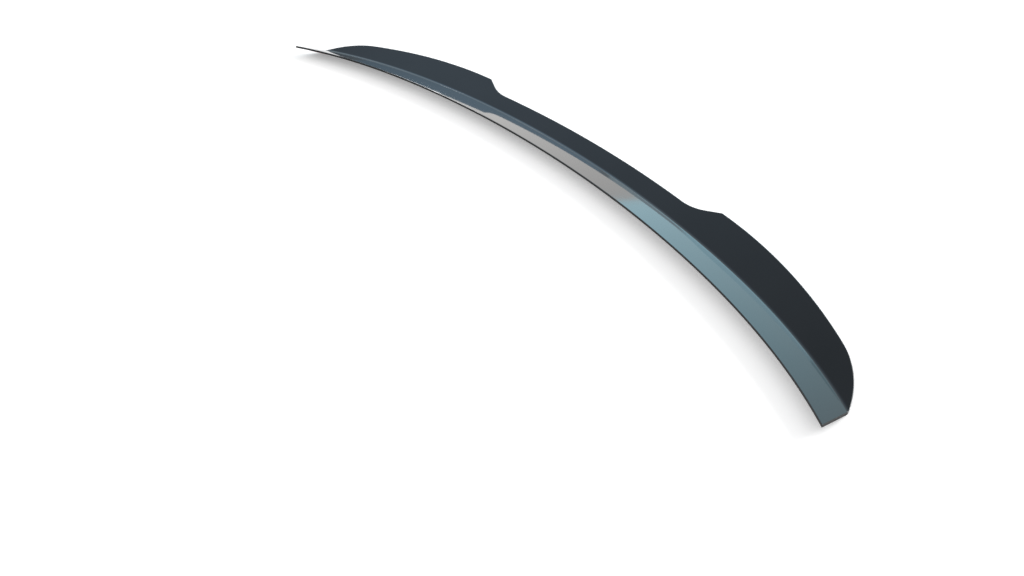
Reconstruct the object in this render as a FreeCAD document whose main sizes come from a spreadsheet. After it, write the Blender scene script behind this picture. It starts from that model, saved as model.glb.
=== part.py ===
"""Boot-lid spoiler extension: a formed plastic shell with its adhesive foam tape and release liner.

The shell is one formed sheet. Its flange is bonded down along a crease, behind which a blade
rises to a trailing edge that is turned down as a rim. The blade is wide in two wings and
narrow in a lip between them.

Frame, in millimetres: the origin is on the bonding face of the foam at mid-span, +X runs
across the car, +Y to the rear and +Z up. Inside the sketches, places are measured from the
crease at mid-span.
"""
import FreeCAD, Part
import math
import os
import Sketcher

SIZES = (
    ("half_span", 600, "mid-plane to a front corner of the flange"),
    ("bow", 120.8, "sweep of the crease towards the front, from mid-span to half_span"),
    ("bow_end", 0.1525, "share of the bow that is gathered near the ends"),
    ("crown", 4.5, "drop of the crease from mid-span to half_span"),
    ("flange_depth_mid", 49.2, "crease to front edge in plan, at mid-span"),
    ("flange_depth_end", 47.6, "crease to front edge in plan, at half_span"),
    ("flange_slope_mid", 15.5, "fall of the flange towards the crease at mid-span, degrees"),
    ("flange_slope_end", 19.1, "fall of the flange towards the crease at half_span, degrees"),
    ("blade_slope", 18.8, "rise of the blade behind the crease, degrees"),
    ("skin", 3.2, "thickness of the formed sheet"),
    ("crease_radius", 10, "radius in the crease, on the outside"),
    ("lip_reach", 30.3, "crease to trailing edge in plan, along the centre lip"),
    ("kink_at", 266, "mid-plane to the corner where a wing starts"),
    ("kink_reach", 50.3, "crease to trailing edge in plan, at that corner"),
    ("kink_radius", 4, "rounding of that corner"),
    ("notch_run", 60, "length over which the lip rises to the corner"),
    ("notch_radius", 87, "hollow curve from the lip to the corner"),
    ("end_inset", 9, "front corner to the end of the crease, across the car"),
    ("shoulder_inset", 66, "end of the crease to the shoulder of the wing, across the car"),
    ("shoulder_reach", 37.5, "crease to trailing edge in plan, at the shoulder"),
    ("end_radius", 150, "round end of the wing, outside the shoulder"),
    ("rim_height", 9.9, "depth of the turned-down trailing edge"),
    ("rim_wall", 3.2, "thickness of the turned-down trailing edge"),
    ("rim_end_lift", 0.3, "how far the rim's ends stay above the ridge under the crease"),
    ("edge_radius", 1.4, "rounding along the top of the trailing edge"),
    ("tape_from_crease", 14.3, "crease to the tape's rear edge, along the flange"),
    ("tape_width", 23.2, "width of the tape"),
    ("tape_end_inset", 13.8, "end of the flange to the end of the tape"),
    ("foam_thickness", 1.1, "thickness of the foam"),
    ("liner_thickness", 0.2, "thickness of the release liner"),
)

# Sections of the lofted forms, as shares of half_span. The outer pair lies past the front corners.
STATIONS = (-1.05, -0.9, -0.72, -0.5, -0.25, 0, 0.25, 0.5, 0.72, 0.9, 1.05)

# Room by which a trimming form passes what it trims.
MARGIN = 25
TRIM_HEIGHT = 200

doc = FreeCAD.newDocument("spoiler_extension")

sizes = doc.addObject("Spreadsheet::Sheet", "Sizes")
for row, (alias, number, meaning) in enumerate(SIZES, start=1):
    sizes.set(f"A{row}", str(number))
    sizes.setAlias(f"A{row}", alias)
    sizes.set(f"B{row}", meaning)
doc.recompute()


def number(formula):
    """Present value of a formula on the sheet."""
    return float(sizes.evalExpression(formula))


# Formulas for the curves of the shell. A share is a place along the span over half_span.
def share_of(across):
    return f"({across} / Sizes.half_span)"


def crease(share):
    sweep = f"(-Sizes.bow * ((1 - Sizes.bow_end) * {share}^2 + Sizes.bow_end * {share}^6))"
    height = f"(-Sizes.crown * {share}^4)"
    return sweep, height


def flange_depth(share):
    return f"(Sizes.flange_depth_mid + (Sizes.flange_depth_end - Sizes.flange_depth_mid) * {share}^2)"


def flange_slope(share):
    return f"(Sizes.flange_slope_mid + (Sizes.flange_slope_end - Sizes.flange_slope_mid) * {share}^2)"


def on_flange(share, distance, depth):
    """Point a distance ahead of the crease along the flange, and a depth below its top face."""
    sweep, height = crease(share)
    slope = flange_slope(share)
    along = f"{sweep} - {distance} * cos({slope}) - {depth} * sin({slope})"
    up = f"{height} + {distance} * sin({slope}) - {depth} * cos({slope})"
    return along, up


def on_blade(share, distance, depth):
    """Point a distance behind the crease along the blade, and a depth below its top face."""
    sweep, height = crease(share)
    along = f"{sweep} + {distance} * cos(Sizes.blade_slope) + {depth} * sin(Sizes.blade_slope)"
    up = f"{height} + {distance} * sin(Sizes.blade_slope) - {depth} * cos(Sizes.blade_slope)"
    return along, up


def lowered(point, drop):
    along, up = point
    return along, f"{up} - {drop}"


def half_bend(share):
    """Half the angle that the sheet turns through at the crease."""
    return f"(({flange_slope(share)} + Sizes.blade_slope) / 2)"


BLADE_END = f"((Sizes.kink_reach + {MARGIN}) / cos(Sizes.blade_slope))"
BOND_DISTANCE = "(Sizes.tape_from_crease + Sizes.tape_width / 2)"
BOND_DEPTH = "(Sizes.skin + Sizes.foam_thickness)"
BOND_ALONG, BOND_UP = on_flange("0", BOND_DISTANCE, BOND_DEPTH)


# Sketch helpers
def add_arc(sketch, start, middle, end):
    """Arc through three points; returns its number and which of its ends are start and end."""
    through = Part.Circle(start, middle, end)
    centre = through.Center
    first = math.atan2(start.y - centre.y, start.x - centre.x)
    last = math.atan2(end.y - centre.y, end.x - centre.x)
    turn = (middle - start).cross(end - middle).z
    circle = Part.Circle(centre, FreeCAD.Vector(0, 0, 1), through.Radius)
    if turn > 0:
        return sketch.addGeometry(Part.ArcOfCircle(circle, first, last)), 1, 2
    return sketch.addGeometry(Part.ArcOfCircle(circle, last, first)), 2, 1


def add_line(sketch, start, end):
    return sketch.addGeometry(Part.LineSegment(start, end)), 1, 2


def bind(sketch, name, constraint, formula):
    """Adds a dimension to a sketch and ties it to the sheet."""
    place = sketch.addConstraint(constraint)
    sketch.renameConstraint(place, name)
    sketch.setExpression(f"Constraints.{name}", formula)


def fix_point(sketch, name, geometry, end, along, up):
    bind(sketch, f"{name}_along", Sketcher.Constraint("DistanceX", geometry, end, number(along)), along)
    bind(sketch, f"{name}_up", Sketcher.Constraint("DistanceY", geometry, end, number(up)), up)


def fix_radius(sketch, name, geometry, formula):
    bind(sketch, name, Sketcher.Constraint("Radius", geometry, number(formula)), formula)


def origin_plane(body, role):
    return next(plane for plane in body.Origin.OriginFeatures if plane.Role == role)


def bulged_middle(start, end, radius, side):
    """Middle of an arc of a radius, on one side of its chord."""
    chord = end - start
    rise = radius - math.sqrt(radius ** 2 - chord.Length ** 2 / 4)
    across = FreeCAD.Vector(-chord.y, chord.x, 0).normalize()
    return (start + end) / 2 + across * rise * side


def add_polygon(sketch, corners, arcs):
    """Closed outline. An arc replaces the edge after the corner it is keyed by."""
    points = [FreeCAD.Vector(number(along), number(up), 0) for along, up in corners]
    edges = []
    for corner, start in enumerate(points):
        end = points[(corner + 1) % len(points)]
        if corner in arcs:
            radius, side = arcs[corner]
            edges.append(add_arc(sketch, start, bulged_middle(start, end, number(radius), side), end))
            fix_radius(sketch, f"radius_{corner}", edges[-1][0], radius)
        else:
            edges.append(add_line(sketch, start, end))
    for corner, (geometry, start, _) in enumerate(edges):
        before, _, end_before = edges[corner - 1]
        sketch.addConstraint(Sketcher.Constraint("Coincident", before, end_before, geometry, start))
        fix_point(sketch, f"corner_{corner}", geometry, start, *corners[corner])


def add_section(body, name, station):
    """Sketch across the part at a station."""
    sketch = body.newObject("Sketcher::SketchObject", name)
    sketch.AttachmentSupport = [(origin_plane(body, "YZ_Plane"), "")]
    sketch.MapMode = "FlatFace"
    sketch.setExpression("AttachmentOffset.Base.x", f"-({BOND_ALONG})")
    sketch.setExpression("AttachmentOffset.Base.y", f"-({BOND_UP})")
    sketch.setExpression("AttachmentOffset.Base.z", f"Sizes.half_span * ({station})")
    return sketch


def add_loft(name, corners_at, arcs_at):
    """Form lofted through a section at every station."""
    body = doc.addObject("PartDesign::Body", name)
    profiles = []
    for place, station in enumerate(STATIONS):
        share = str(abs(station))
        profile = add_section(body, f"{name}_section_{place}", station)
        add_polygon(profile, corners_at(share), arcs_at(share))
        profiles.append(profile)
    doc.recompute()
    loft = body.newObject("PartDesign::AdditiveLoft", f"{name}_loft")
    loft.Profile = profiles[0]
    loft.Sections = profiles[1:]
    loft.Ruled = False
    doc.recompute()
    return body


# Formed sheet: flange, rounded crease and blade
def skin_corners(share):
    tangent = f"(Sizes.crease_radius * tan({half_bend(share)}))"
    sweep, height = crease(share)
    front = (f"{sweep} - {flange_depth(share)}",
             f"{height} + {flange_depth(share)} * tan({flange_slope(share)})")
    return (
        front,
        lowered(front, f"Sizes.skin / cos({flange_slope(share)})"),
        on_flange(share, tangent, "Sizes.skin"),
        on_blade(share, tangent, "Sizes.skin"),
        on_blade(share, BLADE_END, "Sizes.skin"),
        on_blade(share, BLADE_END, "0"),
        on_blade(share, tangent, "0"),
        on_flange(share, tangent, "0"),
    )


def skin_arcs(share):
    return {2: ("(Sizes.crease_radius + Sizes.skin)", -1), 6: ("Sizes.crease_radius", 1)}


# Stuff that the rim is cut from: it starts inside the sheet and ends level with the ridge
def rim_corners(share):
    ridge_drop = (f"(Sizes.crease_radius + Sizes.skin - Sizes.rim_end_lift"
                  f" - Sizes.crease_radius / cos({half_bend(share)}))")
    sweep, height = crease(share)
    rear = on_blade(share, BLADE_END, "0")
    level_run = f"((Sizes.rim_height - {ridge_drop}) / tan(Sizes.blade_slope))"
    half_skin = "(Sizes.skin / 2 / cos(Sizes.blade_slope))"
    return (
        (sweep, f"{height} - {half_skin}"),
        (sweep, f"{height} - {ridge_drop}"),
        (f"{sweep} + {level_run}", f"{height} - {ridge_drop}"),
        lowered(rear, "Sizes.rim_height"),
        lowered(rear, half_skin),
    )


# Layers of the tape under the flange
def layer_corners(share, top, bottom):
    front = "(Sizes.tape_from_crease + Sizes.tape_width)"
    return (
        on_flange(share, front, top),
        on_flange(share, front, bottom),
        on_flange(share, "Sizes.tape_from_crease", bottom),
        on_flange(share, "Sizes.tape_from_crease", top),
    )


def foam_corners(share):
    """The foam's top is sunk in the sheet, where it is cut off."""
    return layer_corners(share, "(Sizes.skin / 2)", BOND_DEPTH)


def liner_corners(share):
    return layer_corners(share, BOND_DEPTH, f"({BOND_DEPTH} + Sizes.liner_thickness)")


def no_arcs(share):
    return {}


# Plan outline of the blade: wing ends, wings, corners, notches and lip
CREASE_END = "(Sizes.half_span - Sizes.end_inset)"
CREASE_END_ALONG = crease(share_of(CREASE_END))[0]
FRONT_CORNER_ALONG = "(-Sizes.bow - Sizes.flange_depth_end)"


def half_outline(side):
    """Formulas for the fixed points of one half of the outline, from the notch outwards."""
    places = (
        ("(Sizes.kink_at - Sizes.notch_run)", "Sizes.lip_reach"),
        ("Sizes.kink_at", "Sizes.kink_reach"),
        (f"({CREASE_END} - Sizes.shoulder_inset)", "Sizes.shoulder_reach"),
        (CREASE_END, "0"),
    )
    return [(f"{side} * {across}", f"{crease(share_of(across))[0]} + {reach}") for across, reach in places]


def vector(point):
    along, up = point
    return FreeCAD.Vector(number(along), number(up), 0)


def tangent_point(centre, radius, outside, side):
    """Where the line from a point outside a circle touches it."""
    gap = outside - centre
    turn = math.acos(radius / gap.Length) * side
    heading = math.atan2(gap.y, gap.x) - turn
    return centre + FreeCAD.Vector(math.cos(heading), math.sin(heading), 0) * radius


def add_half(sketch, side, lip, lip_pos):
    """Draws one half of the outline outwards from the end of the lip; returns its last line."""
    points = half_outline(side)
    lip_end, kink, shoulder, crease_end = [vector(point) for point in points]
    lip_centre = sketch.Geometry[lip].Center
    notch_centre = lip_end + (lip_end - lip_centre).normalize() * number("Sizes.notch_radius")
    notch_end = tangent_point(notch_centre, number("Sizes.notch_radius"), kink, side)
    notch_middle = (lip_end + notch_end) / 2
    notch_middle += (notch_middle - notch_centre).normalize() * (notch_end - lip_end).Length / 50
    wing_middle = (kink + shoulder) / 2 + FreeCAD.Vector(0, (shoulder - kink).Length / 30, 0)
    end_middle = bulged_middle(shoulder, crease_end, number("Sizes.end_radius"), side)
    chain = [
        add_arc(sketch, lip_end, notch_middle, notch_end),
        add_line(sketch, notch_end, kink),
        add_arc(sketch, kink, wing_middle, shoulder),
        add_arc(sketch, shoulder, end_middle, crease_end),
    ]
    notch, flank, wing, wing_end = chain
    sketch.addConstraint(Sketcher.Constraint("Tangent", lip, lip_pos, notch[0], notch[1]))
    sketch.addConstraint(Sketcher.Constraint("Tangent", notch[0], notch[2], flank[0], flank[1]))
    sketch.addConstraint(Sketcher.Constraint("Coincident", flank[0], flank[2], wing[0], wing[1]))
    sketch.addConstraint(Sketcher.Constraint("Tangent", wing[0], wing[2], wing_end[0], wing_end[1]))
    name = "right" if side > 0 else "left"
    fix_radius(sketch, f"notch_{name}", notch[0], "Sizes.notch_radius")
    fix_radius(sketch, f"wing_end_{name}", wing_end[0], "Sizes.end_radius")
    fix_point(sketch, f"kink_{name}", wing[0], wing[1], *points[1])
    fix_point(sketch, f"shoulder_{name}", wing_end[0], wing_end[1], *points[2])
    fix_point(sketch, f"crease_end_{name}", wing_end[0], wing_end[2], *points[3])
    past_end = crease_end + (crease_end - end_middle) * 2
    run_out, start, end = add_line(sketch, crease_end, past_end)
    sketch.addConstraint(Sketcher.Constraint("Tangent", wing_end[0], wing_end[2], run_out, start))
    front = f"({FRONT_CORNER_ALONG} - {MARGIN})"
    bind(sketch, f"front_{name}", Sketcher.Constraint("DistanceY", run_out, end, number(front)), front)
    return run_out, end


def add_plan(name):
    sketch = doc.addObject("Sketcher::SketchObject", name)
    sketch.setExpression("Placement.Base.y", f"-({BOND_ALONG})")
    return sketch


def add_outline():
    sketch = add_plan("blade_outline")
    left = vector(half_outline(-1)[0])
    right = vector(half_outline(1)[0])
    top = FreeCAD.Vector(0, number("Sizes.lip_reach"), 0)
    lip, lip_right, lip_left = add_arc(sketch, right, top, left)
    sagitta = f"({crease(share_of('(Sizes.kink_at - Sizes.notch_run)'))[0]})"
    lip_radius = f"(-((Sizes.kink_at - Sizes.notch_run)^2 + {sagitta}^2) / (2 * {sagitta}))"
    sketch.addConstraint(Sketcher.Constraint("PointOnObject", lip, 3, -2))
    fix_radius(sketch, "lip_radius", lip, lip_radius)
    fix_point(sketch, "lip_right", lip, lip_right, *half_outline(1)[0])
    across = half_outline(-1)[0][0]
    bind(sketch, "lip_left", Sketcher.Constraint("DistanceX", lip, lip_left, number(across)), across)
    right_out, right_end = add_half(sketch, 1, lip, lip_right)
    left_out, left_end = add_half(sketch, -1, lip, lip_left)
    front, front_start, front_end = add_line(sketch, sketch.getPoint(right_out, right_end),
                                             sketch.getPoint(left_out, left_end))
    sketch.addConstraint(Sketcher.Constraint("Coincident", right_out, right_end, front, front_start))
    sketch.addConstraint(Sketcher.Constraint("Coincident", left_out, left_end, front, front_end))
    return sketch


# Plan outline of the whole piece between its two end cuts
def add_end_cuts():
    """Straight cuts through the ends of the crease and the front corners, run on past both."""
    sketch = add_plan("end_cuts")
    lean = f"(Sizes.end_inset / ({CREASE_END_ALONG} - {FRONT_CORNER_ALONG}))"
    rear = f"(Sizes.kink_reach + {MARGIN})"
    front_across = f"(Sizes.half_span + {lean} * {MARGIN})"
    rear_across = f"({CREASE_END} - {lean} * ({rear} - {CREASE_END_ALONG}))"
    front = f"({FRONT_CORNER_ALONG} - {MARGIN})"
    corners = (
        (front_across, front),
        (rear_across, rear),
        (f"-{rear_across}", rear),
        (f"-{front_across}", front),
    )
    add_polygon(sketch, corners, {})
    return sketch


def add_inset(name, source, inset):
    offset = doc.addObject("Part::Offset2D", name)
    offset.Source = source
    offset.setExpression("Value", f"-({inset})")
    offset.Join = "Intersection"
    return offset


def add_prism(name, base):
    prism = doc.addObject("Part::Extrusion", name)
    prism.Base = base
    prism.DirMode = "Custom"
    prism.Dir = FreeCAD.Vector(0, 0, 1)
    prism.LengthFwd = TRIM_HEIGHT
    prism.Symmetric = True
    prism.Solid = True
    return prism


def add_boolean(kind, name, base, tool):
    result = doc.addObject(f"Part::{kind}", name)
    result.Base = base
    result.Tool = tool
    return result


def kink_edges(shape):
    """Numbers of the upright edges at the corners where the wings start."""
    found = []
    for place, edge in enumerate(shape.Edges, start=1):
        upright = abs(edge.Vertexes[0].X - edge.Vertexes[-1].X) < 0.001 and edge.Length > TRIM_HEIGHT / 2
        if upright and abs(abs(edge.Vertexes[0].X) - number("Sizes.kink_at")) < 0.001:
            found.append(place)
    return found


def add_fillet(name, base, edges, radius):
    fillet = doc.addObject("Part::Fillet", name)
    fillet.Base = base
    fillet.Edges = [(edge, number(radius), number(radius)) for edge in edges]
    return fillet


def trailing_top_edges(shape):
    """Numbers of the edges between the top of the blade and the outside of the rim."""
    found = []
    for place, edge in enumerate(shape.Edges, start=1):
        middle = edge.valueAt((edge.FirstParameter + edge.LastParameter) / 2)
        heights = []
        for face in shape.ancestorsOfType(edge, Part.Face):
            across, along = face.Surface.parameter(middle)
            heights.append(face.normalAt(across, along).z)
        behind_crease = middle.y + number(BOND_ALONG) > number(crease(share_of(abs(middle.x)))[0])
        if behind_crease and max(heights) > 0.8 and min(abs(height) for height in heights) < 0.01:
            found.append(place)
    return found


skin = add_loft("formed_sheet", skin_corners, skin_arcs)
rim_stuff = add_loft("rim_stuff", rim_corners, no_arcs)
foam_stuff = add_loft("foam_stuff", foam_corners, no_arcs)
liner_stuff = add_loft("liner_stuff", liner_corners, no_arcs)

outline = add_outline()
end_cuts = add_end_cuts()
doc.recompute()
hollow = add_inset("hollow_outline", outline, "Sizes.rim_wall")
tape_ends = add_inset("tape_ends", end_cuts, "Sizes.tape_end_inset")
sharp_prism = add_prism("sharp_prism", outline)
hollow_prism = add_prism("hollow_prism", hollow)
end_prism = add_prism("end_prism", end_cuts)
tape_prism = add_prism("tape_prism", tape_ends)
doc.recompute()
blade_prism = add_fillet("blade_prism", sharp_prism, kink_edges(sharp_prism.Shape), "Sizes.kink_radius")
doc.recompute()

# The rim's top edge is rounded while the wing ends still run on past the end cuts
rim = add_boolean("Cut", "rim", rim_stuff, hollow_prism)
untrimmed = add_boolean("Fuse", "untrimmed_shell", skin, rim)
trimmed = add_boolean("Common", "trimmed_shell", untrimmed, blade_prism)
doc.recompute()
rounded = add_fillet("rounded_shell", trimmed, trailing_top_edges(trimmed.Shape), "Sizes.edge_radius")
doc.recompute()
shell = add_boolean("Common", "spoiler_shell", rounded, end_prism)

cut_foam = add_boolean("Common", "cut_foam", foam_stuff, tape_prism)
foam = add_boolean("Cut", "foam_tape", cut_foam, shell)
liner = add_boolean("Common", "release_liner", liner_stuff, tape_prism)
doc.recompute()

sub_parts = (shell, foam, liner)
for part in doc.Objects:
    if "Invalid" in part.State or "Error" in part.State:
        raise RuntimeError(f"{part.Name} failed: {part.State}")
for part in sub_parts:
    if part.Shape.isNull() or not part.Shape.isValid() or len(part.Shape.Solids) != 1:
        raise RuntimeError(f"{part.Label} isn't one sound solid")

os.makedirs("parts", exist_ok=True)
for part in sub_parts:
    part.Shape.exportStep(f"parts/{part.Label}.step")
    print(part.Label, "volume", round(part.Shape.Volume), "box", part.Shape.BoundBox)
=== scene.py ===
"""Boot-lid spoiler extension in gloss black, lying on a pale studio floor."""
import math
import bmesh
import bpy
import numpy as np
from mathutils import Matrix, Vector


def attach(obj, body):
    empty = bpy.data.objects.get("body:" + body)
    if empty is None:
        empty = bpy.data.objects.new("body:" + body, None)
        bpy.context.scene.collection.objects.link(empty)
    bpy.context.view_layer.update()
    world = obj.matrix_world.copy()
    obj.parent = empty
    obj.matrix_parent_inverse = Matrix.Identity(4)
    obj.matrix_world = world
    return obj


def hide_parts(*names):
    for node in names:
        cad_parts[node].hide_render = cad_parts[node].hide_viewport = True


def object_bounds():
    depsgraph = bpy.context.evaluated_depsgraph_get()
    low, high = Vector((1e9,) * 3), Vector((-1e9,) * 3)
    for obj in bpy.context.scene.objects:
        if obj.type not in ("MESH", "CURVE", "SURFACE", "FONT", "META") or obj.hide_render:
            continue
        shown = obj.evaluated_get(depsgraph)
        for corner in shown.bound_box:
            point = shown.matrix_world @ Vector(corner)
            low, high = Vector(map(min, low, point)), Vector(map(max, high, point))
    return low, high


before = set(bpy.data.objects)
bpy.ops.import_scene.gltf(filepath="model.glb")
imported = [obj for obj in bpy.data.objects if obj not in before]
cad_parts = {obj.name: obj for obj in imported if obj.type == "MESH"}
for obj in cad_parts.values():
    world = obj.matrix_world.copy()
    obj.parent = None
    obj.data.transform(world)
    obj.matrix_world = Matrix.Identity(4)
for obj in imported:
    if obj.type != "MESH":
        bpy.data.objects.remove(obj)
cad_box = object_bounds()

# Sizes of the shell, the same as in the part's source: lengths in millimetres, the flange's slopes in degrees
HALF_SPAN = 600
BOW = 120.8
BOW_END = 0.1525
CROWN = 4.5
FLANGE_DEPTH_MID = 49.2
FLANGE_DEPTH_END = 47.6
FLANGE_SLOPE_MID = 15.5
FLANGE_SLOPE_END = 19.1
BLADE_SLOPE = math.radians(18.8)
SKIN = 3.2
CREASE_RADIUS = 10
LIP_REACH = 30.3
KINK_AT = 266
KINK_REACH = 50.3
NOTCH_RUN = 60
NOTCH_RADIUS = 87
END_INSET = 9
SHOULDER_INSET = 66
SHOULDER_REACH = 37.5
END_RADIUS = 150
RIM_HEIGHT = 9.9
RIM_WALL = 3.2
RIM_END_LIFT = 0.3
EDGE_RADIUS = 1.4
TAPE_FROM_CREASE = 14.3
TAPE_WIDTH = 23.2
FOAM_THICKNESS = 1.1

# How far the rounding of a wing's corner runs to each side of it
KINK_RUN = 0.95

# Small roundings that only the dressed shell has, and how far it stays inside the solid's box
LIP_ROUND = 0.7
ROOT_ROUND = 5
FRONT_ROUND = 0.45
CLEARANCE = 0.02

CREASE_END = HALF_SPAN - END_INSET
SHOULDER_AT = CREASE_END - SHOULDER_INSET
LIP_END = KINK_AT - NOTCH_RUN

# The wing ends: the narrowest full section, the width from which the rounding of the trailing edge runs out,
# the least share of the rim's inner rounding, and the last stretch, over which the slant of the outline stays
NARROWEST = 18
SHARP_END = 6
LEAST_ROOT = 0.1
STEADY_END = 1

# Sections of the shell from mid-span outwards, as (start, end, step), closest at the wing's corner, and those
# of the last run to the wing end
LAST_RUN = 16
LAST_SECTIONS = 25
SECTION_RUNS = (
    (0, LIP_END - 10, 4),
    (LIP_END - 10, KINK_AT - 6, 1.5),
    (KINK_AT - 6, KINK_AT - 1, 0.6),
    (KINK_AT - 1, KINK_AT + 1, 0.2),
    (KINK_AT + 1, KINK_AT + 8, 0.7),
    (KINK_AT + 8, SHOULDER_AT, 3),
    (SHOULDER_AT, CREASE_END - LAST_RUN, 2),
)

# Step to each side for the slant of the outline, and the most of a side that one rounding may take
NUDGE = 0.01
LEG_LIMIT = 0.48

# In metres: points closer than this are one, and an edge shorter than this is no edge
SAME_POINT = 0.000002
NO_EDGE = 0.000001
MILLIMETRES_PER_METRE = 1000


# Curves of the shell, measured from the crease at mid-span
def crease_along(across):
    share = across / HALF_SPAN
    return -BOW * ((1 - BOW_END) * share ** 2 + BOW_END * share ** 6)


def crease_up(across):
    return -CROWN * (across / HALF_SPAN) ** 4


def flange_depth(across):
    return FLANGE_DEPTH_MID + (FLANGE_DEPTH_END - FLANGE_DEPTH_MID) * (across / HALF_SPAN) ** 2


def flange_slope(across):
    slope = FLANGE_SLOPE_MID + (FLANGE_SLOPE_END - FLANGE_SLOPE_MID) * (across / HALF_SPAN) ** 2
    return np.radians(slope)


def centre_of_arc(start, end, radius):
    """Centre of an arc that bulges to the left of the way from end to start."""
    chord = end - start
    length = np.linalg.norm(chord)
    across = np.array((-chord[1], chord[0])) / length
    return (start + end) / 2 - across * math.sqrt(radius ** 2 - length ** 2 / 4)


def outline_point(across, reach):
    return np.array((across, crease_along(across) + reach))


lip_end = outline_point(LIP_END, LIP_REACH)
kink = outline_point(KINK_AT, KINK_REACH)
shoulder = outline_point(SHOULDER_AT, SHOULDER_REACH)
crease_end = outline_point(CREASE_END, 0)

lip_drop = LIP_REACH - lip_end[1]
lip_radius = (LIP_END ** 2 + lip_drop ** 2) / (2 * lip_drop)
lip_centre = np.array((0, LIP_REACH - lip_radius))
notch_centre = lip_end + (lip_end - lip_centre) / lip_radius * NOTCH_RADIUS
to_kink = kink - notch_centre
heading = math.atan2(to_kink[1], to_kink[0]) - math.acos(NOTCH_RADIUS / np.linalg.norm(to_kink))
notch_end = notch_centre + NOTCH_RADIUS * np.array((math.cos(heading), math.sin(heading)))
end_centre = centre_of_arc(shoulder, crease_end, END_RADIUS)
inward = (end_centre - shoulder) / END_RADIUS
wing_radius = np.dot(kink - shoulder, kink - shoulder) / (2 * np.dot(kink - shoulder, inward))
wing_centre = shoulder + inward * wing_radius


def half_chord(centre, radius, across):
    """How far a circle stands from the line through its centre, at places across the car."""
    return np.sqrt(np.maximum(radius ** 2 - (across - centre[0]) ** 2, 0))


def sharp_outline(across):
    """Trailing edge in plan, with the corner between notch and wing left sharp."""
    lip = lip_centre[1] + half_chord(lip_centre, lip_radius, across)
    notch = notch_centre[1] - half_chord(notch_centre, NOTCH_RADIUS, across)
    flank = kink[1] + (across - kink[0]) * (kink[1] - notch_end[1]) / (kink[0] - notch_end[0])
    wing = wing_centre[1] + half_chord(wing_centre, wing_radius, across)
    end = end_centre[1] + half_chord(end_centre, END_RADIUS, across)
    return np.select(
        (across < LIP_END, across < notch_end[0], across < KINK_AT, across < SHOULDER_AT),
        (lip, notch, flank, wing),
        end,
    )


def outline(across):
    """Trailing edge in plan. The corner is rounded over a short run on both sides of it."""
    across = np.abs(across)
    before = sharp_outline(np.full_like(across, KINK_AT - KINK_RUN))
    after = sharp_outline(np.full_like(across, KINK_AT + KINK_RUN))
    step = np.clip((across - KINK_AT) / (2 * KINK_RUN) + 0.5, 0, 1)
    rounded = (1 - step) ** 2 * before + 2 * step * (1 - step) * kink[1] + step ** 2 * after
    return np.where(np.abs(across - KINK_AT) < KINK_RUN, rounded, sharp_outline(across))


def places():
    """Places across the car where the shell gets a section, from one wing end to the other."""
    runs = [np.arange(start, end, step) for start, end, step in SECTION_RUNS]
    runs.append(np.linspace(CREASE_END - LAST_RUN, CREASE_END, LAST_SECTIONS))
    half = np.concatenate(runs)
    return np.concatenate((-half[:0:-1], half))


def rounded_loop(corners, rounds, bends, runs):
    """Closed section through corners, each rounded over a length, with runs between them.

    corners: per corner, an array of (along, up) for every section. rounds: per corner, the length of
    each leg of its rounding. bends and runs: numbers of points in a rounding and in the run after it.
    """
    count = len(corners)
    legs = []
    for place in range(count):
        before = corners[place - 1] - corners[place]
        after = corners[(place + 1) % count] - corners[place]
        legs.append((before, after))
    points = []
    for place in range(count):
        before, after = legs[place]
        back = np.linalg.norm(before, axis=1)
        ahead = np.linalg.norm(after, axis=1)
        length = np.minimum(rounds[place], LEG_LIMIT * np.minimum(back, ahead))
        start = corners[place] + before * (length / back)[:, None]
        end = corners[place] + after * (length / ahead)[:, None]
        cosine = np.sum(before * after, axis=1) / (back * ahead)
        pull = np.sqrt((1 - cosine) / 2)[:, None]
        for step in np.linspace(0, 1, bends[place]):
            weights = ((1 - step) ** 2, 2 * step * (1 - step) * pull, step ** 2)
            arc = weights[0] * start + weights[1] * corners[place] + weights[2] * end
            points.append(arc / (weights[0] + weights[1] + weights[2]))
        next_corner = corners[(place + 1) % count]
        next_length = np.minimum(rounds[(place + 1) % count], LEG_LIMIT * ahead)
        next_start = next_corner - after * (next_length / ahead)[:, None]
        spread = 0.5 - 0.5 * np.cos(np.linspace(0, math.pi, runs[place] + 2)[1:-1])
        for step in spread:
            points.append(end + (next_start - end) * step)
    return np.stack(points, axis=1)


def flat_points(along, up):
    return np.stack(np.broadcast_arrays(along, up), axis=1).astype(float)


# Two of a section's eight stretches, a corner with the run after it, counted from the front edge over the top
TRAILING_EDGE = 2
RIM_EDGE = 3


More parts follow.
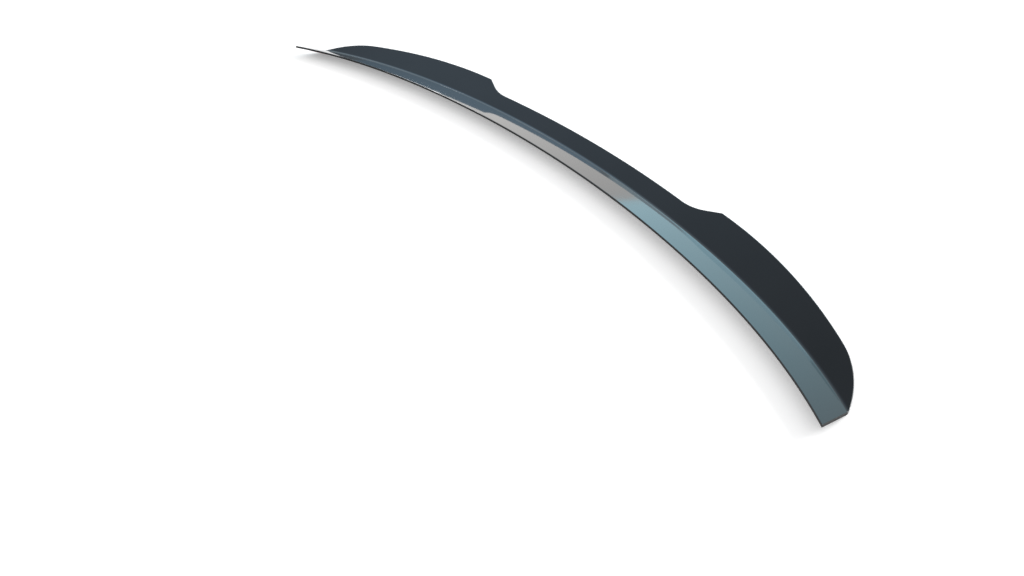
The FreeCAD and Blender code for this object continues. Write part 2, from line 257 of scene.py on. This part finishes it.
def shell_sections(across):
    """Sections of the shell, as (along, up) from the crease, and the stretch that each point is on."""
    width = outline(across) - crease_along(across) - CLEARANCE
    slant = (outline(np.abs(across) + NUDGE) - outline(np.abs(across) - NUDGE)) / (2 * NUDGE)
    last_slant = slant[np.argmin(np.abs(across - CREASE_END + STEADY_END))]
    slant = np.where(np.abs(across) > CREASE_END - STEADY_END, last_slant, slant)
    wall = RIM_WALL * np.sqrt(1 + slant ** 2)
    full = np.maximum(width, NARROWEST)
    rise = math.tan(BLADE_SLOPE)
    slope = flange_slope(across)
    fall = np.tan(slope)
    half = (slope + BLADE_SLOPE) / 2
    depth = flange_depth(across) - CLEARANCE
    under_flange = SKIN / np.cos(slope)
    under_blade = SKIN / math.cos(BLADE_SLOPE)
    ridge_along = (under_blade - under_flange) / (fall + rise)
    ridge_up = ridge_along * rise - under_blade
    level = CLEARANCE - (CREASE_RADIUS + SKIN - RIM_END_LIFT - CREASE_RADIUS / np.cos(half))
    bottom = np.maximum(full * rise - RIM_HEIGHT, level)
    inside = full - wall
    corners = (
        flat_points(-depth, depth * fall),
        flat_points(np.zeros_like(depth), 0),
        flat_points(full, full * rise),
        flat_points(full, bottom),
        flat_points(inside, bottom),
        flat_points(inside, np.maximum(inside * rise - under_blade, bottom)),
        flat_points(ridge_along, ridge_up),
        flat_points(-depth, depth * fall - under_flange),
    )
    rounds = (
        FRONT_ROUND,
        CREASE_RADIUS * np.tan(half),
        (EDGE_RADIUS + 2 * CLEARANCE) / math.tan(math.pi / 4 - BLADE_SLOPE / 2),
        LIP_ROUND,
        LIP_ROUND,
        ROOT_ROUND * np.clip((width - NARROWEST) / NARROWEST, LEAST_ROOT, 1),
        (CREASE_RADIUS + SKIN) * np.tan(half),
        FRONT_ROUND,
    )
    # Numbers of points in each corner's rounding and in the run after it
    bends = (5, 9, 7, 5, 5, 7, 9, 5)
    runs = (14, 14, 4, 2, 4, 12, 14, 2)
    loops = rounded_loop(corners, rounds, bends, runs)
    region = np.repeat(np.arange(len(bends)), np.add(bends, runs))

    # Where the wing end is narrower than a full section, the section is cut off at the outline. Its edges
    # move in with the outline, and the rim fills it down to the rim's own lower edge.
    reach = np.clip(width, 0, CREASE_RADIUS)
    crease_top = CREASE_RADIUS / np.cos(half) - np.sqrt(CREASE_RADIUS ** 2 - reach ** 2)
    top = np.where(reach < CREASE_RADIUS * math.sin(BLADE_SLOPE), crease_top, width * rise)
    share = np.clip(width / SHARP_END, 0, 1)
    edge = np.flatnonzero(region == TRAILING_EDGE)
    rim = np.flatnonzero(region == RIM_EDGE)
    rounding, face = np.split(edge, [bends[TRAILING_EDGE]])
    lip = rim[:bends[RIM_EDGE]]
    for column in np.flatnonzero(width < full):
        along, up = loops[column].T
        corner = np.array((full[column], full[column] * rise))
        moved = np.array((width[column], top[column]))
        bend = moved + (loops[column, rounding] - corner) * share[column]
        lip_along = along[lip] - full[column] + width[column]
        lip_up = up[lip].copy()
        under = (region >= RIM_EDGE) & (along > max(width[column] - wall[column], 0))
        up[under] = np.minimum(up[under], bottom[column])
        over = (region < TRAILING_EDGE) & (along > bend[0, 0])
        up[over] = bend[0, 1]
        along[over] = bend[0, 0]
        along[region > TRAILING_EDGE] = np.minimum(along[region > TRAILING_EDGE], lip_along[-1])
        along[face] = width[column]
        up[face] = np.clip(up[face], lip_up[0], bend[-1, 1])
        along[lip] = lip_along
        up[lip] = lip_up
        loops[column, rounding] = bend
    return loops, region


# Finish of the eight stretches: top of the flange, top of the blade, the rim's face, lower edge and inside,
# underside of the blade, underside of the flange, and front edge
GLOSS, SATIN, CUT_EDGE = range(3)
FINISH_OF_REGION = (GLOSS, GLOSS, GLOSS, GLOSS, SATIN, SATIN, SATIN, CUT_EDGE)


def shell_mesh():
    across = places()
    loops, region = shell_sections(across)
    depth = flange_depth(across)[:, None]
    ahead = np.clip(-loops[:, :, 0] / depth, 0, 1)
    x = across[:, None] * (1 + END_INSET / CREASE_END * ahead)
    y = crease_along(x) + loops[:, :, 0]
    z = crease_up(x) + loops[:, :, 1]

    # The frame's origin is on the foam's bonding face at mid-span
    tilt = math.radians(FLANGE_SLOPE_MID)
    distance = TAPE_FROM_CREASE + TAPE_WIDTH / 2
    drop = SKIN + FOAM_THICKNESS
    y += distance * math.cos(tilt) + drop * math.sin(tilt)
    z -= distance * math.sin(tilt) - drop * math.cos(tilt)

    points = np.stack((x, y, z), axis=2) / MILLIMETRES_PER_METRE
    columns, ring = x.shape
    faces = []
    finish = []
    for column in range(columns - 1):
        for step in range(ring):
            after = (step + 1) % ring
            here = column * ring
            there = here + ring
            faces.append((here + step, there + step, there + after, here + after))
            finish.append(FINISH_OF_REGION[region[step]])
    faces.append(tuple(range(ring)))
    faces.append(tuple(reversed(range((columns - 1) * ring, columns * ring))))
    finish += [CUT_EDGE, CUT_EDGE]
    mesh = bpy.data.meshes.new("shell_skin")
    mesh.from_pydata(points.reshape(-1, 3).tolist(), [], faces)
    mesh.polygons.foreach_set("material_index", finish)
    mesh.polygons.foreach_set("use_smooth", [True] * (len(faces) - 2) + [False, False])

    # Points that fall together where a section is cut off are made one
    work = bmesh.new()
    work.from_mesh(mesh)
    bmesh.ops.remove_doubles(work, verts=work.verts, dist=SAME_POINT)
    bmesh.ops.dissolve_degenerate(work, edges=work.edges, dist=NO_EDGE)
    work.to_mesh(mesh)
    work.free()
    return mesh


# Node helpers
def new_material(name):
    material = bpy.data.materials.new(name)
    material.use_nodes = True
    nodes = material.node_tree.nodes
    return material, nodes, material.node_tree.links, nodes["Principled BSDF"]


def add_noise(nodes, links, where, scale, detail, stretch=(1, 1, 1)):
    mapping = nodes.new("ShaderNodeMapping")
    mapping.inputs["Scale"].default_value = stretch
    links.new(where.outputs["Object"], mapping.inputs["Vector"])
    noise = nodes.new("ShaderNodeTexNoise")
    noise.inputs["Scale"].default_value = scale
    noise.inputs["Detail"].default_value = detail
    links.new(mapping.outputs["Vector"], noise.inputs["Vector"])
    return noise


def add_ramp(nodes, links, source, stops):
    """Colour ramp through two or more stops, each a place and a colour."""
    ramp = nodes.new("ShaderNodeValToRGB")
    elements = ramp.color_ramp.elements
    for element, (place, colour) in zip(elements, stops):
        element.position = place
        element.color = (*colour, 1)
    for place, colour in stops[2:]:
        elements.new(place).color = (*colour, 1)
    links.new(source, ramp.inputs["Fac"])
    return ramp


def add_range(nodes, links, source, low, high):
    spread = nodes.new("ShaderNodeMapRange")
    spread.inputs["To Min"].default_value = low
    spread.inputs["To Max"].default_value = high
    links.new(source, spread.inputs["Value"])
    return spread.outputs["Result"]


def add_bump(nodes, links, source, shader, strength, distance):
    bump = nodes.new("ShaderNodeBump")
    bump.inputs["Strength"].default_value = strength
    bump.inputs["Distance"].default_value = distance
    links.new(source, bump.inputs["Height"])
    links.new(bump.outputs["Normal"], shader.inputs["Normal"])


def gloss_black():
    """Polished black plastic with a faint ripple in the gloss and light wear in its roughness."""
    material, nodes, links, shader = new_material("gloss_black")
    where = nodes.new("ShaderNodeTexCoord")
    cloud = add_noise(nodes, links, where, scale=9, detail=3)
    colour = add_ramp(nodes, links, cloud.outputs["Fac"],
                      ((0.3, (0.0055, 0.0062, 0.0072)), (0.7, (0.0085, 0.0095, 0.0108))))
    links.new(colour.outputs["Color"], shader.inputs["Base Color"])
    wear = add_noise(nodes, links, where, scale=260, detail=4, stretch=(0.25, 1, 1))
    links.new(add_range(nodes, links, wear.outputs["Fac"], low=0.035, high=0.075), shader.inputs["Roughness"])
    ripple = add_noise(nodes, links, where, scale=420, detail=2)
    add_bump(nodes, links, ripple.outputs["Fac"], shader, strength=0.012, distance=0.0004)
    shader.inputs["IOR"].default_value = 1.5
    return material


def satin_black():
    """Unpolished inside of the formed sheet, with a fine moulded grain."""
    material, nodes, links, shader = new_material("satin_black")
    where = nodes.new("ShaderNodeTexCoord")
    cloud = add_noise(nodes, links, where, scale=14, detail=4)
    colour = add_ramp(nodes, links, cloud.outputs["Fac"],
                      ((0.3, (0.014, 0.018, 0.022)), (0.7, (0.022, 0.027, 0.032))))
    links.new(colour.outputs["Color"], shader.inputs["Base Color"])
    grain = add_noise(nodes, links, where, scale=1500, detail=3)
    links.new(add_range(nodes, links, grain.outputs["Fac"], low=0.24, high=0.4), shader.inputs["Roughness"])
    add_bump(nodes, links, grain.outputs["Fac"], shader, strength=0.12, distance=0.0003)
    shader.inputs["IOR"].default_value = 1.5
    return material


def cut_black():
    """Trimmed edge of the sheet: dull, with fine marks of the cutter along it, painted a little darker in
    their grooves as shade.
    """
    material, nodes, links, shader = new_material("cut_black")
    where = nodes.new("ShaderNodeTexCoord")
    marks = add_noise(nodes, links, where, scale=900, detail=3, stretch=(0.06, 0.06, 1))
    # The marks' grooves, low in the bump below, are painted a little darker: painted shade in the grooves.
    colour = add_ramp(nodes, links, marks.outputs["Fac"],
                      ((0.3, (0.004, 0.0045, 0.005)), (0.7, (0.008, 0.009, 0.01))))
    links.new(colour.outputs["Color"], shader.inputs["Base Color"])
    links.new(add_range(nodes, links, marks.outputs["Fac"], low=0.4, high=0.6), shader.inputs["Roughness"])
    add_bump(nodes, links, marks.outputs["Fac"], shader, strength=0.15, distance=0.0002)
    shader.inputs["Specular IOR Level"].default_value = 0.2
    return material


def black_foam():
    """Closed-cell foam: small round cells, painted darker in their hollows as shade, and a dry surface."""
    material, nodes, links, shader = new_material("black_foam")
    where = nodes.new("ShaderNodeTexCoord")
    cells = nodes.new("ShaderNodeTexVoronoi")
    cells.inputs["Scale"].default_value = 2600
    links.new(where.outputs["Object"], cells.inputs["Vector"])
    # The cells' hollows, low in the bump below, are painted darker: painted shade in the cells.
    colour = add_ramp(nodes, links, cells.outputs["Distance"],
                      ((0.1, (0.02, 0.02, 0.022)), (0.8, (0.055, 0.056, 0.06))))
    links.new(colour.outputs["Color"], shader.inputs["Base Color"])
    dryness = add_range(nodes, links, cells.outputs["Distance"], low=0.95, high=0.75)
    links.new(dryness, shader.inputs["Roughness"])
    add_bump(nodes, links, cells.outputs["Distance"], shader, strength=0.5, distance=0.0003)
    return material


def red_film():
    """Red release film, slightly uneven where it lies on the foam."""
    material, nodes, links, shader = new_material("red_film")
    where = nodes.new("ShaderNodeTexCoord")
    cloud = add_noise(nodes, links, where, scale=22, detail=3)
    colour = add_ramp(nodes, links, cloud.outputs["Fac"],
                      ((0.3, (0.72, 0.045, 0.07)), (0.7, (0.82, 0.07, 0.1))))
    links.new(colour.outputs["Color"], shader.inputs["Base Color"])
    film = add_noise(nodes, links, where, scale=70, detail=4, stretch=(1, 0.35, 0.35))
    links.new(add_range(nodes, links, film.outputs["Fac"], low=0.24, high=0.42), shader.inputs["Roughness"])
    add_bump(nodes, links, film.outputs["Fac"], shader, strength=0.12, distance=0.0008)
    return material


def add_shown(nodes, links):
    """1 where a surface is seen, mirrored or looked at through glass, and 0 where it only gives light."""
    path = nodes.new("ShaderNodeLightPath")
    shown = path.outputs["Is Camera Ray"]
    for ray in ("Is Glossy Ray", "Is Transmission Ray"):
        either = nodes.new("ShaderNodeMath")
        either.operation = "MAXIMUM"
        links.new(shown, either.inputs[0])
        links.new(path.outputs[ray], either.inputs[1])
        shown = either.outputs["Value"]
    return shown


# Glow of the floor where it is seen, which brings it to white
FLOOR_GLOW = 0.3


def pale_floor():
    """Pale, dull floor with a hardly uneven tone."""
    material, nodes, links, shader = new_material("pale_floor")
    where = nodes.new("ShaderNodeTexCoord")
    cloud = add_noise(nodes, links, where, scale=3, detail=2)
    colour = add_ramp(nodes, links, cloud.outputs["Fac"],
                      ((0.2, (0.93, 0.93, 0.93)), (0.8, (0.95, 0.95, 0.95))))
    links.new(colour.outputs["Color"], shader.inputs["Base Color"])
    shader.inputs["Roughness"].default_value = 0.9
    shader.inputs["Specular IOR Level"].default_value = 0
    shown = add_shown(nodes, links)
    glow = add_range(nodes, links, shown, low=0, high=FLOOR_GLOW)
    links.new(glow, shader.inputs["Emission Strength"])
    shader.inputs["Emission Color"].default_value = (1, 1, 1, 1)
    return material


# The dressed shell
shell = bpy.data.objects.new("shell_skin", shell_mesh())
bpy.context.collection.objects.link(shell)
shell.data.materials.append(gloss_black())
shell.data.materials.append(satin_black())
shell.data.materials.append(cut_black())
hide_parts("spoiler_shell")
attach(shell, "root")


def dress(node, material):
    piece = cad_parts[node]
    piece.data.materials.clear()
    piece.data.materials.append(material)


dress("foam_tape", black_foam())
dress("release_liner", red_film())

# The film lies close above the floor, and throws no red on it
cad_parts["release_liner"].visible_diffuse = False

# Studio
FLOOR_HALF = 30
floor_up = cad_box[0][2]
floor_mesh = bpy.data.meshes.new("floor")
floor_mesh.from_pydata(
    [(-FLOOR_HALF, -FLOOR_HALF, floor_up), (FLOOR_HALF, -FLOOR_HALF, floor_up),
     (FLOOR_HALF, FLOOR_HALF, floor_up), (-FLOOR_HALF, FLOOR_HALF, floor_up)],
    [], [(0, 1, 2, 3)])
floor = bpy.data.objects.new("floor", floor_mesh)
floor.data.materials.append(pale_floor())
bpy.context.collection.objects.link(floor)


def add_softbox(name, place, aim, width, height, power, colour=(1, 1, 1), fade=None):
    """Soft light. fade: share of the power at its two sides, from one to the other."""
    light = bpy.data.lights.new(name, "AREA")
    light.shape = "RECTANGLE"
    light.size = width
    light.size_y = height
    light.energy = power
    light.color = colour
    if fade:
        light.use_nodes = True
        nodes = light.node_tree.nodes
        links = light.node_tree.links
        place_on = nodes.new("ShaderNodeNewGeometry")
        axes = nodes.new("ShaderNodeSeparateXYZ")
        links.new(place_on.outputs["Parametric"], axes.inputs["Vector"])
        strength = add_range(nodes, links, axes.outputs["X"], *fade)
        links.new(strength, nodes["Emission"].inputs["Strength"])
    lamp = bpy.data.objects.new(name, light)
    lamp.location = place
    lamp.rotation_euler = (Vector(aim) - Vector(place)).to_track_quat("-Z", "Y").to_euler()
    bpy.context.collection.objects.link(lamp)
    return lamp


# The lights: places and sizes in metres, power in watts. They aim at the middle of the part.
MIDDLE = (0, 0, 0)
add_softbox("key", (1.0, 2.5, 1.4), MIDDLE, width=2, height=1.2, power=56)
add_softbox("front_fill", (-0.5, -2.2, 1.5), MIDDLE, width=2.4, height=1.6, power=12)

# Low panels behind the part, which the flange mirrors. They meet along a leaning edge.
PANEL_HEADING = math.radians(128)
PANEL_DISTANCE = 3
PANEL_LEAN = math.radians(27.4)
PANEL_CORNER = (-0.057, 0.401)


def add_panel(name, middle, width, height, power, colour, fade=None):
    """Panel that faces the part. middle: along the leaning edge and square to it, from its corner."""
    ahead = Vector((math.cos(PANEL_HEADING), math.sin(PANEL_HEADING), 0))
    left = Vector((-ahead.y, ahead.x, 0))
    up = Vector((0, 0, 1))
    edge = left * math.cos(PANEL_LEAN) + up * math.sin(PANEL_LEAN)
    square = up * math.cos(PANEL_LEAN) - left * math.sin(PANEL_LEAN)
    corner = ahead * PANEL_DISTANCE + left * PANEL_CORNER[0] + up * PANEL_CORNER[1]
    place = corner + edge * middle[0] + square * middle[1]
    lamp = add_softbox(name, place, MIDDLE, width, height, power, colour, fade)
    lamp.rotation_euler = Matrix((edge, square, edge.cross(square))).transposed().to_euler()


add_panel("blue_panel", (-0.85, 0.8), width=2.1, height=1.6, power=10.5,
          colour=(0.3, 0.8, 1), fade=(0.02, 1.54))
add_panel("white_panel", (0.42, -0.4), width=0.96, height=0.8, power=1.14,
          colour=(1, 0.98, 0.95), fade=(1.05, 1.65))
add_panel("left_panel", (1.1, -0.6), width=0.4, height=0.6, power=4.5, colour=(1, 1, 1))

# Two more above them, which the flange mirrors by way of the blade
add_softbox("near_bar", (-1.45, 2.62, 1.05), MIDDLE, width=1.6, height=0.36, power=1.5,
            colour=(0.6, 0.85, 1))
add_softbox("far_bar", (-2.33, 1.29, 1.39), MIDDLE, width=1.6, height=0.9, power=2,
            colour=(0.05, 0.5, 1))


# Strength of the surroundings as light, and their colours where they are mirrored, from the horizon upwards
WORLD_LIGHT = 0.68
MIRRORED_WALLS = (
    (0.13, (1, 1, 1)),
    (0.2, (0.75, 0.9, 0.97)),
    (0.55, (0.76, 0.9, 1)),
    (0.65, (0.5, 0.66, 0.82)),
    (0.78, (0.34, 0.4, 0.46)),
)


def studio_world():
    """Surroundings: white where they are seen, tinted upwards where mirrored, and dimmer as light."""
    world = bpy.data.worlds.new("studio")
    world.use_nodes = True
    nodes = world.node_tree.nodes
    links = world.node_tree.links
    nodes.clear()
    shown = add_shown(nodes, links)
    light = nodes.new("ShaderNodeBackground")
    light.inputs["Color"].default_value = (1, 1, 1, 1)
    light.inputs["Strength"].default_value = WORLD_LIGHT
    white = nodes.new("ShaderNodeBackground")
    white.inputs["Color"].default_value = (1, 1, 1, 1)
    mirrored = nodes.new("ShaderNodeBackground")
    where = nodes.new("ShaderNodeTexCoord")
    axes = nodes.new("ShaderNodeSeparateXYZ")
    links.new(where.outputs["Generated"], axes.inputs["Vector"])
    walls = add_ramp(nodes, links, axes.outputs["Z"], MIRRORED_WALLS)
    links.new(walls.outputs["Color"], mirrored.inputs["Color"])
    given = nodes.new("ShaderNodeMixShader")
    links.new(shown, given.inputs["Fac"])
    links.new(light.outputs["Background"], given.inputs[1])
    links.new(mirrored.outputs["Background"], given.inputs[2])
    path = nodes.new("ShaderNodeLightPath")
    mix = nodes.new("ShaderNodeMixShader")
    links.new(path.outputs["Is Camera Ray"], mix.inputs["Fac"])
    links.new(given.outputs["Shader"], mix.inputs[1])
    links.new(white.outputs["Background"], mix.inputs[2])
    output = nodes.new("ShaderNodeOutputWorld")
    links.new(mix.outputs["Shader"], output.inputs["Surface"])
    return world


scene = bpy.context.scene
scene.world = studio_world()
scene.view_settings.view_transform = "Standard"

# The camera: focal length and sensor in millimetres, its place in metres, and the way that it looks
FOCAL_LENGTH = 33.91
SENSOR_WIDTH = 36
CAMERA_PLACE = (0.9927, -0.7545, 0.6156)
CAMERA_LOOKS = Vector((-0.6858, 0.4635, -0.5612))
lens = bpy.data.cameras.new("camera")
lens.lens = FOCAL_LENGTH
lens.sensor_width = SENSOR_WIDTH
camera = bpy.data.objects.new("camera", lens)
camera.location = CAMERA_PLACE
camera.rotation_euler = CAMERA_LOOKS.to_track_quat("-Z", "Y").to_euler()
bpy.context.collection.objects.link(camera)
scene.camera = camera
